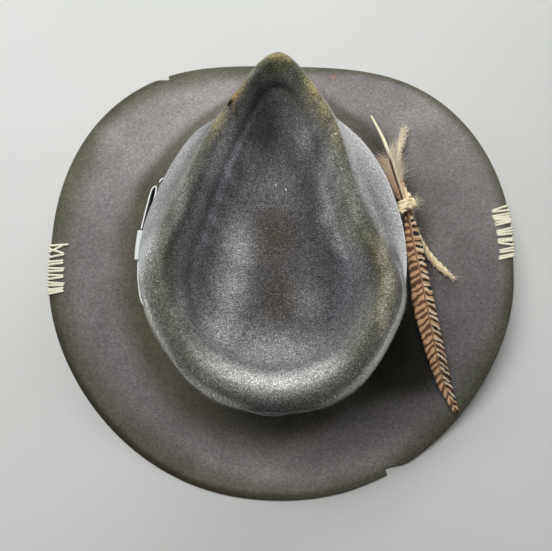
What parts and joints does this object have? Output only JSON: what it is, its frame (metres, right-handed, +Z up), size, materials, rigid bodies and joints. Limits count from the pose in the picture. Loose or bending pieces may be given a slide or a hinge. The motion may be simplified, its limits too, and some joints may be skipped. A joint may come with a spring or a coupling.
{
  "type": "wool felt hat",
  "caption": "Grey wool felt hat with a teardrop crown, wide dipped brim, ribbon band and bow, and a barred feather tied on with jute twine.",
  "frame": {"origin": "middle of the brim's outline, on the surface that the hat stands on", "axes": "+Z up, +Y towards the front of the hat, +X towards the wearer's right"},
  "size_m": [0.3281, 0.3368, 0.1429],
  "materials": {
    "felt": "matte wool felt, distressed, olive and rust stains",
    "ribbon": "grosgrain ribbon with pale selvedges",
    "pale_ribbon": "pale grosgrain ribbon",
    "feather": "barred tan and dark brown feather",
    "twine": "raw jute"
  },
  "bodies": {
    "root": {"felt_body": "felt", "hat_band": "ribbon", "bow_keeper": "pale_ribbon", "bow_front_loop": "ribbon", "bow_front_tail": "ribbon", "bow_back_loop": "ribbon", "feather": "feather", "twine_tie": "twine", "twine_end_upper": "twine", "twine_end_lower": "twine"}
  },
  "joints": []
}
